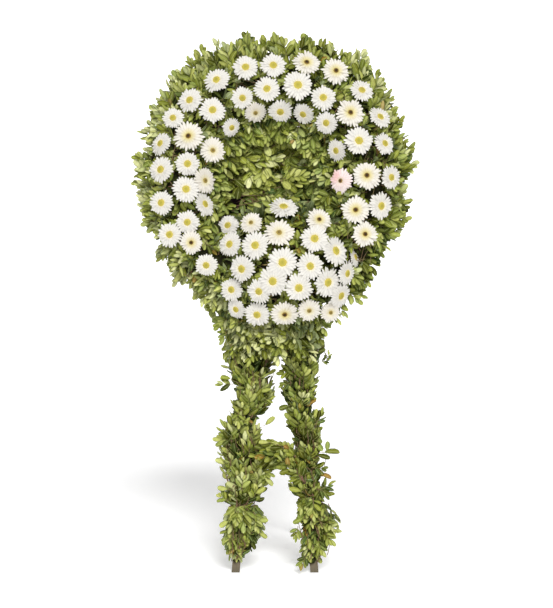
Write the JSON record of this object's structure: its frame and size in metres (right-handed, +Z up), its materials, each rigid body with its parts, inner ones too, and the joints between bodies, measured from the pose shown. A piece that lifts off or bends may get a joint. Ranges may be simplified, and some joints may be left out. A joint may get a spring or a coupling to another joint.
{
  "type": "memorial wreath",
  "caption": "Standing memorial wreath: a leaning round head of evergreen leaves with white gerberas and a bloom cushion, on a timber stand with two leaf-wrapped front legs.",
  "frame": {"origin": "centre of the object's box at floor level", "axes": "+Z up from the floor, the flowered front faces -Y, +X to the viewer's right"},
  "size_m": [0.9958, 0.6458, 1.8433],
  "materials": {
    "gerbera_petals": "soft matt white gerbera petals with a yellow-green or dark brown eye",
    "box_leaves": "leathery evergreen leaves, glossy yellow-green above, matt pale green below",
    "shaded_leaves": "the same leaves, deeper green in the shade of the dish",
    "straw": "dry straw bound with twine",
    "batten_wood": "unplaned softwood batten, greyed and soiled at the foot"
  },
  "bodies": {
    "root": {"front_leg_left": "batten_wood", "front_leg_right": "batten_wood", "rear_prop_left": "batten_wood", "rear_prop_right": "batten_wood", "side_stretcher_left": "batten_wood", "side_stretcher_right": "batten_wood", "rear_stretcher": "batten_wood", "upper_head_rail": "batten_wood", "lower_head_rail": "batten_wood", "gerberas_ring_top_left": "gerbera_petals", "gerberas_ring_top": "gerbera_petals", "gerberas_ring_top_right": "gerbera_petals", "gerberas_ring_shoulder_right": "gerbera_petals", "gerberas_ring_upper_right": "gerbera_petals", "gerberas_ring_right": "gerbera_petals", "gerberas_ring_mid_right": "gerbera_petals", "gerberas_ring_lower_right": "gerbera_petals", "gerbera_ring_right_foot": "gerbera_petals", "gerberas_ring_shoulder_left": "gerbera_petals", "gerberas_ring_upper_left": "gerbera_petals", "gerberas_ring_left": "gerbera_petals", "gerberas_ring_mid_left": "gerbera_petals", "gerberas_ring_lower_left": "gerbera_petals", "gerberas_ring_foot_left": "gerbera_petals", "gerbera_ring_left_foot": "gerbera_petals", "gerberas_cushion_right_edge": "gerbera_petals", "gerberas_cushion_upper_right": "gerbera_petals", "gerberas_cushion_top": "gerbera_petals", "gerberas_cushion_upper_left": "gerbera_petals", "gerberas_cushion_left": "gerbera_petals", "gerbera_cushion_middle": "gerbera_petals", "gerbera_cushion_centre_right": "gerbera_petals", "gerberas_cushion_centre_left": "gerbera_petals", "gerbera_cushion_centre_low": "gerbera_petals", "gerberas_cushion_lower_right": "gerbera_petals", "gerbera_cushion_low_left": "gerbera_petals", "gerbera_cushion_low_middle": "gerbera_petals", "gerberas_cushion_low_right": "gerbera_petals", "straw_ring": "straw", "dish_backing": "straw", "straw_cushion": "straw", "cushion_leaves": "box_leaves", "ring_leaves_1": "box_leaves", "ring_leaves_2": "box_leaves", "ring_leaves_3": "box_leaves", "ring_leaves_4": "box_leaves", "ring_leaves_5": "box_leaves", "dish_leaves": "shaded_leaves", "collar_leaves": "box_leaves", "leg_leaves_left_upper": "box_leaves", "leg_leaves_left_middle": "box_leaves", "leg_leaves_left_foot": "box_leaves", "leg_leaves_right_upper": "box_leaves", "leg_leaves_right_middle": "box_leaves", "leg_leaves_right_foot": "box_leaves", "bridge_sprig": "box_leaves"}
  },
  "joints": []
}
